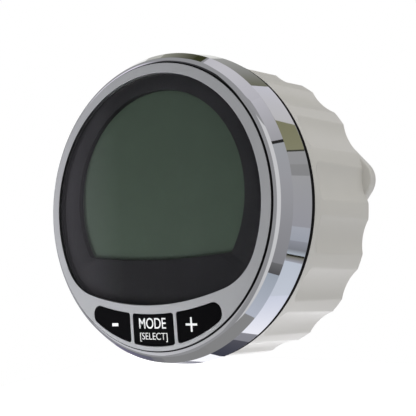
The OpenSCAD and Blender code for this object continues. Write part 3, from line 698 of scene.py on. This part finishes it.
def word_mesh(word, left, right, low, high, weight):
    """A word fitted to a box on the face, given in mm seen from the front."""
    text = bpy.data.curves.new("word", "FONT")
    text.body = word
    text.size = 1
    text.offset = weight
    text.extrude = 0.5
    mesh = plain_mesh(add_object("word", text))
    xs, ys = [v.co.x for v in mesh.vertices], [v.co.y for v in mesh.vertices]
    wide, tall = max(xs) - min(xs), max(ys) - min(ys)
    for v in mesh.vertices:
        x = left + (v.co.x - min(xs)) / wide * (right - left)
        z = low + (v.co.y - min(ys)) / tall * (high - low)
        y = LEGEND_BACK + (LEGEND_FRONT - LEGEND_BACK) * (v.co.z + 0.5)
        v.co = Vector((x, y, z)) * MM
    clean_mesh(mesh, 1e-7)
    return mesh


for name, *word in (("mode_legend", "MODE", -5.7, 5.0, -37.35, -34.15, 0.004),
                    ("select_legend", "[SELECT]", -5.6, 5.3, -41.2, -38.55, -0.006)):
    put_piece(name, word_mesh(*word), legend_white, body="mode_key")

# Panel gasket: a flat ring of black rubber that the clamp nut squeezes between the bezel's
# rear and the panel.
GASKET_IN, GASKET_T = 42.5, 1.5
gasket_outline = round_corners([(GASKET_IN, -GASKET_T), (BEZEL_R, -GASKET_T), (BEZEL_R, 0), (GASKET_IN, 0)],
                               {1: 0.1, 2: 0.1})
put_piece("gasket_ring", turn_mesh(gasket_outline, 256), black_rubber, "black_rubber", "panel_gasket")

# Clamp nut: a white moulded ring that screws up behind the panel. Its cone carries twenty
# hollow flutes with rounded front ends, cut by rule in Geometry Nodes.
NUT_Y, NUT_L, NUT_FRONT_R, NUT_REAR_R, NUT_BORE, NUT_EDGE = 0.3, 34.2, 48.7, 53.55, 42.4, 1.0
FLUTES, FLUTE_T, FLUTE_R, FLUTE_START, FLUTE_END, FLUTE_BLEND, CREST_TURN = 20, 1.2, 18.2, 3.0, 3.8, 0.08, 10.9
SLEEVE_R, SHELL_T, CORE_Y = 44.6, 3.8, 7.0
NUT_SLOPE = (NUT_REAR_R - NUT_FRONT_R) / NUT_L
nut_white = make_finish("nut_white", (0.62, 0.605, 0.565), 0.3, mottle=0.008, rough_spread=0.02, grain_mm=0.9,
                        depth=0.0005)
NUT_BACK, SHELL_FRONT_R = NUT_Y + NUT_L, NUT_FRONT_R + CORE_Y * NUT_SLOPE - SHELL_T
# its points lie close together where the flutes start
skin_y = [1.35 + 0.3 * k for k in range(30)] + [10.6 + 1.3 * k for k in range(18)]
nut_outline = [(NUT_BORE, NUT_Y), (NUT_FRONT_R - NUT_EDGE, NUT_Y)]
skin_first = len(nut_outline)
nut_outline += arc((NUT_FRONT_R - NUT_EDGE, NUT_Y + NUT_EDGE), NUT_EDGE, -90, 0, 6)[1:-1]
nut_outline += [(NUT_FRONT_R + y * NUT_SLOPE, NUT_Y + y) for y in skin_y]
nut_outline += [(NUT_REAR_R - inset, NUT_BACK - up) for inset, up in ((0.03, 0.2), (0.15, 0.05), (0.4, 0))]
skin_last = len(nut_outline)
nut_outline += [(NUT_REAR_R - SHELL_T, NUT_BACK), (SHELL_FRONT_R, NUT_Y + CORE_Y), (SLEEVE_R, NUT_Y + CORE_Y),
                (SLEEVE_R, NUT_BACK), (NUT_BORE, NUT_BACK)]
nut_steps = 720
nut_mesh = turn_mesh(nut_outline, nut_steps)
skin = nut_mesh.attributes.new("skin", "FLOAT", "POINT")
for index in range(len(nut_outline) * nut_steps):
    skin.data[index].value = 1.0 if skin_first <= index // nut_steps < skin_last else 0.0


def rule_tree(name, inputs):
    """Geometry Nodes tree with named number inputs. Returns the tree, the geometry it is given and those numbers."""
    tree = bpy.data.node_groups.new(name, "GeometryNodeTree")
    tree.interface.new_socket(name="Geometry", in_out="INPUT", socket_type="NodeSocketGeometry")
    for label in inputs:
        tree.interface.new_socket(name=label, in_out="INPUT", socket_type="NodeSocketFloat")
    tree.interface.new_socket(name="Geometry", in_out="OUTPUT", socket_type="NodeSocketGeometry")
    given = add_node(tree, "NodeGroupInput").outputs
    return tree, given["Geometry"], {label: Term(tree, given[label]) for label in inputs}


def end_rule(tree, geometry, material):
    """Makes instances real, gives the geometry its material and sends it out of the tree."""
    real = add_node(tree, "GeometryNodeRealizeInstances", {0: geometry})
    painted = add_node(tree, "GeometryNodeSetMaterial", {"Geometry": real.outputs[0], "Material": material})
    add_node(tree, "NodeGroupOutput", {"Geometry": painted.outputs[0]})


def point_place(tree):
    """The three coordinates of each point."""
    where = add_node(tree, "GeometryNodeInputPosition").outputs[0]
    return [Term(tree, axis) for axis in add_node(tree, "ShaderNodeSeparateXYZ", {0: where}).outputs]


def move_points(tree, geometry, x, y, z):
    """Geometry with each point put where the three Terms say."""
    join = add_node(tree, "ShaderNodeCombineXYZ", {0: x, 1: y, 2: z})
    return add_node(tree, "GeometryNodeSetPosition", {"Geometry": geometry, "Position": join.outputs[0]}).outputs[0]


def apply_rule(mesh, tree, values):
    """Runs the tree on the mesh and returns the plain mesh that it makes."""
    carrier = add_object("carrier", mesh)
    modifier = carrier.modifiers.new("rule", "NODES")
    modifier.node_group = tree
    for item in tree.interface.items_tree:
        if item.in_out == "INPUT" and item.name in values:
            modifier[item.identifier] = float(values[item.name])
    return plain_mesh(carrier)


tree, nut_given, given = rule_tree("flute_rule", ("Flutes", "Depth", "Section Radius", "Start", "End Radius",
                                                  "Front Radius", "Slope", "First Crest", "Front"))
x, y, z = point_place(tree)
in_mm = [axis * (1 / MM) for axis in (x, y, z)]
# angle of each point from the middle of its flute
pitch = 2 * pi / given["Flutes"]
turned = in_mm[2].math("ARCTAN2", in_mm[0]) - given["First Crest"]
off = ((turned / pitch + 2.0).math("FRACT") - 0.5) * pitch
# radius of the cone there, and the distance from the axis to the middle of the flute's round section
depth_y = in_mm[1] - given["Front"]
cone = depth_y.math("MULTIPLY_ADD", given["Slope"], given["Front Radius"])
cutter = cone + (given["Section Radius"] - given["Depth"])
# radius of that section, which grows from the flute's front end
short = given["End Radius"] - (depth_y - given["Start"]).math("MAXIMUM", 0.0).math("MINIMUM", given["End Radius"])
bulge = (given["End Radius"] * given["End Radius"] - short * short).math("MAXIMUM", 0.0).math("SQRT")
section = given["Section Radius"] - given["End Radius"] + bulge
across = cutter * off.math("SINE")
reach = (section * section - across * across).math("MAXIMUM", 0.0).math("SQRT")
hollow = cutter * off.math("COSINE") - reach
is_skin = add_node(tree, "GeometryNodeInputNamedAttribute", {"Name": "skin"}, data_type="FLOAT").outputs[0]
cut = (cone - hollow).math("SMOOTH_MAX", 0.0, FLUTE_BLEND) * Term(tree, is_skin)
shrink = 1.0 - cut / (in_mm[0] * in_mm[0] + in_mm[2] * in_mm[2]).math("SQRT")
end_rule(tree, move_points(tree, nut_given, x * shrink, y, z * shrink), nut_white)
nut_ring = apply_rule(nut_mesh, tree, {
    "Flutes": FLUTES, "Depth": FLUTE_T, "Section Radius": FLUTE_R, "Start": FLUTE_START, "End Radius": FLUTE_END,
    "Front Radius": NUT_FRONT_R, "Slope": NUT_SLOPE, "First Crest": radians(CREST_TURN), "Front": NUT_Y,
})
smooth_sides(nut_ring, 40)

# two grip lugs stand behind the flutes, and each is rooted across the cored slot
LUG_REACH, LUG_R, LUG_UP, LUG_LOW, LUG_FOOT, LUG_TURN = 55.6, 7.6, 30, 44, 8, 5.5
LUG_L, LUG_SINK, LUG_EDGE, ROOT_L, ROOT_RISE, ROOT_EDGE = 4.3, 0.6, 0.45, 9, 0.5, 0.1
LUG_GAP, ROOT_GAP, ROOT_MARGIN = 0.1, 0.2, 1.3
tip = Vector((LUG_REACH - LUG_R, 0))
up_way, low_way = (Vector((cos(radians(a)), sin(radians(a)))) for a in (LUG_UP, -LUG_LOW))
foot_up = tip + LUG_R * up_way + LUG_FOOT * Vector((-up_way.y, up_way.x))
foot_low = tip + LUG_R * low_way + LUG_FOOT * Vector((low_way.y, -low_way.x))


def ring_sector(inner, outer):
    """Part of a ring between the heights of a lug's two feet."""
    span = [degrees(asin(foot_low.y / outer)), degrees(asin(foot_up.y / outer))]
    near = [degrees(asin(foot_up.y / inner)), degrees(asin(foot_low.y / inner))]
    return arc((0, 0), outer, *span, 16) + arc((0, 0), inner, *near, 16)


lug_span = [degrees(asin(foot.y / NUT_BORE)) for foot in (foot_up, foot_low)]
lug_inner = arc((0, 0), NUT_BORE + LUG_GAP, *lug_span, 16)
lug_outline = [tuple(foot_low), *arc(tip, LUG_R, -LUG_LOW, LUG_UP, 20), tuple(foot_up), *lug_inner]
root_outline = ring_sector(NUT_BORE + ROOT_GAP, NUT_REAR_R - FLUTE_T - ROOT_MARGIN)
nut_parts = [nut_ring]
for turn in (LUG_TURN, LUG_TURN + 180):
    for part in (slab_mesh([lug_outline], NUT_BACK - LUG_SINK, NUT_BACK + LUG_L, LUG_EDGE),
                 slab_mesh([root_outline], NUT_BACK - ROOT_L, NUT_BACK + ROOT_RISE, ROOT_EDGE)):
        part.transform(Matrix.Rotation(-radians(turn), 4, "Y"))
        nut_parts.append(part)

# ten ribs stiffen the slot between the sleeve and the fluted shell, and lean out with the shell
RIB_IN, RIB_OUT, RIB_T, RIB_FRONT, RIB_LEAN, RIB_DOWN = SLEEVE_R - 1, NUT_FRONT_R - 1.5, 1.6, 5, 6, 3
tree, rib_given, given = rule_tree("ring_rule", ("Count", "First Turn"))
spots = add_node(tree, "GeometryNodePoints", {"Count": given["Count"]})
order = Term(tree, add_node(tree, "GeometryNodeInputIndex").outputs[0])
turn = order.math("MULTIPLY_ADD", 2 * pi / given["Count"], given["First Turn"])
spin = add_node(tree, "ShaderNodeCombineXYZ", {1: turn * -1.0})
ring = add_node(tree, "GeometryNodeInstanceOnPoints", {
    "Points": spots.outputs[0], "Instance": rib_given, "Rotation": spin.outputs[0]})
end_rule(tree, ring.outputs[0], nut_white)
rib = slab_mesh([[(RIB_IN, -RIB_T / 2), (RIB_OUT, -RIB_T / 2), (RIB_OUT, RIB_T / 2), (RIB_IN, RIB_T / 2)]],
                NUT_Y + RIB_FRONT, NUT_BACK - RIB_DOWN, 0.1)
for v in rib.vertices:
    if v.co.x > (RIB_IN + RIB_OUT) / 2 * MM:
        v.co.x += NUT_SLOPE * max(0.0, v.co.y - RIB_LEAN * MM)
ribs = apply_rule(rib, tree, {"Count": FLUTES // 2, "First Turn": radians(CREST_TURN)})
put_piece("nut_ring", merge_meshes([*nut_parts, ribs]), nut_white, "nut_white", "clamp_nut", body="nut")

# Case: one white moulding with a flange that the bezel hooks over, a barrel for the panel
# hole and the nut, a rear wall, and pillars inside for the board screws.
BARREL_IN, ROOT_R, THREAD_R, LAND_Y, CASE_DEPTH, REAR_IN, FLOOR_Y = 39.7, 41.5, 42.2, 3.0, 31.0, 28.8, -2.8
CONNECTOR, SPIGOT_R, VENT_AT, VENT_STEM = (0, -12), 11.5, (-20, 10), 3.0
case_white = make_finish("case_white", (0.55, 0.535, 0.49), 0.4, mottle=0.015, grain_mm=0.7, depth=0.01)
TUBE_IN, TUBE_R, TUBE_FRONT, FLANGE_Y, FLANGE_R, STEP_Y, SEAT_R = 43.6, 45.1, -10.1, -5.0, 47.3, -2.1, 46.6
PILLAR_R, PILLAR_HOLE, case_steps = 2.9, 1.1, 192
case_holes = [(CONNECTOR, SPIGOT_R + 0.1, 96), (VENT_AT, VENT_STEM + 0.05, 48)]
case_parts = [
    turn_mesh([
        (BARREL_IN, REAR_IN), (BARREL_IN, FLOOR_Y), (TUBE_IN, FLOOR_Y), (TUBE_IN, TUBE_FRONT), (TUBE_R, TUBE_FRONT),
        (TUBE_R, FLANGE_Y), (FLANGE_R, FLANGE_Y), (FLANGE_R, STEP_Y), (SEAT_R, STEP_Y), (SEAT_R, BEZEL_BACK),
        (THREAD_R, BEZEL_BACK), (THREAD_R, LAND_Y), (ROOT_R, LAND_Y + THREAD_R - ROOT_R),
        *arc((ROOT_R - 1, CASE_DEPTH - 1), 1.0, 0, 90, 6),
    ], case_steps, closed=False),
]
for radius, y in ((BARREL_IN, REAR_IN), (ROOT_R - 1, CASE_DEPTH)):
    case_parts.append(flat_mesh([round_outline((0, 0), radius, case_steps),
                                 *(round_outline(*hole) for hole in case_holes)], y))
for centre, radius, steps in case_holes:
    case_parts.append(turn_mesh([(radius, REAR_IN), (radius, CASE_DEPTH)], steps, centre, closed=False))
case_mesh = merge_meshes(case_parts)
clean_mesh(case_mesh, 2e-6)
pillars = []
for ring_r, angles, front, back in ((37.9, (-15, -50, -130, -165), FLOOR_Y, 6.0),
                                    (30.5, (90, 210, 330), 24.0, REAR_IN)):
    sides = [(PILLAR_HOLE, front), (PILLAR_R, front), (PILLAR_R, back), (PILLAR_HOLE, back)]
    pillars += [turn_mesh(sides, 32, (ring_r * cos(radians(angle)), ring_r * sin(radians(angle))))
                for angle in angles]
put_piece("case", merge_meshes([case_mesh, *pillars]), case_white, "case_white", "case_shell")

# Thread of the barrel, moulded in one with it: a straight bar of its section, wound round
# the barrel by rule and run out to nothing at both ends.
PITCH, TURNS, THREAD_START, THREAD_T, THREAD_SINK, RUN_OUT = 3.0, 8, 4.9, 0.7, 0.15, 0.4
THREAD_FOOT, THREAD_CREST = 0.99, 0.27
bar_steps = TURNS * 72
section = [(-THREAD_FOOT, -THREAD_SINK), (-THREAD_CREST, THREAD_T), (THREAD_CREST, THREAD_T),
           (THREAD_FOOT, -THREAD_SINK)]
bar_points = [(k / bar_steps, y, r) for k in range(bar_steps + 1) for y, r in section]
bar_faces = [(k * 4 + j, k * 4 + (j + 1) % 4, k * 4 + 4 + (j + 1) % 4, k * 4 + 4 + j)
             for k in range(bar_steps) for j in range(4)]
bar_faces += [(3, 2, 1, 0), tuple(bar_steps * 4 + j for j in range(4))]
bar_mesh = bpy.data.meshes.new("thread")
bar_mesh.from_pydata(bar_points, [], bar_faces)
tree, bar_given, given = rule_tree("wind_rule", ("Turns", "Pitch", "Root Radius", "Start", "Run Out"))
along, aside, outward = point_place(tree)
turns_in = along * given["Turns"]
to_end = turns_in.math("MINIMUM", given["Turns"] - turns_in)
fade = to_end.math("DIVIDE", given["Run Out"], clamp=True).math("MAXIMUM", 0.02)
high = (outward + THREAD_SINK) * fade - THREAD_SINK
radius_here = (given["Root Radius"] + high) * MM
angle_here = turns_in * (2 * pi)
y_here = turns_in.math("MULTIPLY_ADD", given["Pitch"], given["Start"]) + aside * fade
end_rule(tree, move_points(tree, bar_given, radius_here * angle_here.math("COSINE"), y_here * MM,
                           radius_here * angle_here.math("SINE")), case_white)
thread = apply_rule(bar_mesh, tree, {
    "Turns": TURNS, "Pitch": PITCH, "Root Radius": ROOT_R, "Start": THREAD_START, "Run Out": RUN_OUT})
clean_mesh(thread)
smooth_sides(thread)
put_piece("barrel_thread", thread, case_white, "case_white")

# Connector: a white shroud bonded in the rear wall, with three keys inside it, and ten
# gold pins with rounded tips in a black insert.
SHROUD_R, SHROUD_IN, SHROUD_END, SHROUD_EDGE = 12.0, 10.4, 46.5, 0.4
KEY_ANGLES, KEY_IN, KEY_W, KEY_FRONT, KEY_END = (90, 205, 335), 9.5, 1.6, 33.2, 44.7
shroud_outline = round_corners([
    (SHROUD_IN, REAR_IN), (SPIGOT_R, REAR_IN), (SPIGOT_R, CASE_DEPTH), (SHROUD_R, CASE_DEPTH), (SHROUD_R, SHROUD_END),
    (SHROUD_IN, SHROUD_END)], {4: SHROUD_EDGE, 5: SHROUD_EDGE})
shroud_parts = [turn_mesh(shroud_outline, 128, CONNECTOR)]
key_place = Matrix.Translation((CONNECTOR[0] * MM, 0, CONNECTOR[1] * MM))
for angle in KEY_ANGLES:
    key = slab_mesh([[(KEY_IN, -KEY_W / 2), (KEY_IN + 1, -KEY_W / 2), (KEY_IN + 1, KEY_W / 2), (KEY_IN, KEY_W / 2)]],
                    KEY_FRONT, KEY_END, 0.15)
    key.transform(key_place @ Matrix.Rotation(-radians(angle), 4, "Y"))
    shroud_parts.append(key)
put_piece("connector_shroud", merge_meshes(shroud_parts), case_white, "case_white", "connector_shell")
PIN_R, PIN_PITCH, PIN_TIP, PIN_FOOT = 0.5, 4.0, 41.0, 21.6
pin_spots = [((j - (count - 1) / 2) * PIN_PITCH, CONNECTOR[1] + (1 - i) * PIN_PITCH * sin(radians(60)))
             for i, count in enumerate((3, 4, 3)) for j in range(count)]
spot_mesh = bpy.data.meshes.new("pins")
spot_mesh.from_pydata([(x * MM, 0, z * MM) for x, z in pin_spots], [], [])
gold = make_finish("gold_pin", (0.85, 0.6, 0.25), 0.22, mottle=0.05, metallic=1.0)
tree, spots_given, given = rule_tree("pin_rule", ("Radius", "Foot", "Tip", "Rounding"))
dome_y = given["Tip"] - given["Rounding"]
stem_l = dome_y - given["Foot"]
stem = add_node(tree, "GeometryNodeMeshCylinder", {"Vertices": 24, "Radius": given["Radius"], "Depth": stem_l})
dome = add_node(tree, "GeometryNodeMeshUVSphere", {"Segments": 24, "Rings": 12, "Radius": given["Radius"]})
whole = add_node(tree, "GeometryNodeJoinGeometry")
for solid, y in ((stem, stem_l.math("MULTIPLY_ADD", 0.5, given["Foot"])), (dome, dome_y)):
    at = add_node(tree, "ShaderNodeCombineXYZ", {2: y})
    feed(tree, whole, {0: add_node(tree, "GeometryNodeTransform", {
        "Geometry": solid.outputs["Mesh"], "Translation": at.outputs[0]}).outputs[0]})
placed = add_node(tree, "GeometryNodeInstanceOnPoints", {
    "Points": spots_given, "Instance": whole.outputs[0], "Rotation": (-pi / 2, 0, 0)})
end_rule(tree, placed.outputs[0], gold)
pins = apply_rule(spot_mesh, tree, {
    "Radius": PIN_R * MM, "Foot": PIN_FOOT * MM, "Tip": PIN_TIP * MM, "Rounding": PIN_R * MM})
smooth_sides(pins)
put_piece("pins", pins, gold, "gold_pin", "connector_pins")

# Vent plug: a small cap of black plastic with a softened edge and a dished face, its stem
# pressed into the rear wall.
VENT_R, VENT_FACE_R, VENT_T, VENT_DISH = 4.5, 2.6, 1.2, 0.3
vent_outline = round_corners([
    (0, REAR_IN), (VENT_STEM, REAR_IN), (VENT_STEM, CASE_DEPTH), (VENT_R, CASE_DEPTH), (VENT_R, CASE_DEPTH + VENT_T),
    (VENT_FACE_R, CASE_DEPTH + VENT_T), (VENT_FACE_R - 0.2, CASE_DEPTH + VENT_T - VENT_DISH),
    (0, CASE_DEPTH + VENT_T - VENT_DISH)], {4: 0.35})
put_piece("vent_cap", turn_mesh(vent_outline, 64, VENT_AT), black_plastic, "black_plastic", "vent_plug")

# Inside: the boards, chips, screws, switches and seals stay as the CAD made them, and each
# gets the finish of its record slot.
inner_finishes = {name: make_finish(name, colour, roughness, metallic=metal) for name, colour, roughness, metal in (
    ("white_plastic", (0.7, 0.7, 0.68), 0.45, 0.0),
    ("diffuser", (0.75, 0.77, 0.75), 0.3, 0.0),
    ("grey_silicone", (0.08, 0.08, 0.085), 0.6, 0.0),
    ("led_plastic", (0.7, 0.62, 0.25), 0.25, 0.0),
    ("nylon", (0.7, 0.67, 0.58), 0.4, 0.0),
    ("switch_grey", (0.1, 0.1, 0.105), 0.5, 0.0),
    ("board_green", (0.01, 0.10, 0.03), 0.3, 0.0),
    ("steel", (0.55, 0.55, 0.54), 0.3, 1.0),
    ("ribbon_grey", (0.3, 0.3, 0.31), 0.5, 0.0),
    ("can_metal", (0.6, 0.6, 0.62), 0.25, 1.0),
)}
inner_finishes |= {"black_plastic": black_plastic, "black_rubber": black_rubber}
slot_of = {entry["node"]: entry["material_slot"] for entry in frame["record"]["subparts"]}
for node_name, cad_piece in frame["nodes"].items():
    if slot_of[node_name] in inner_finishes:
        for cad_slot in cad_piece.material_slots:
            cad_slot.material = inner_finishes[slot_of[node_name]]
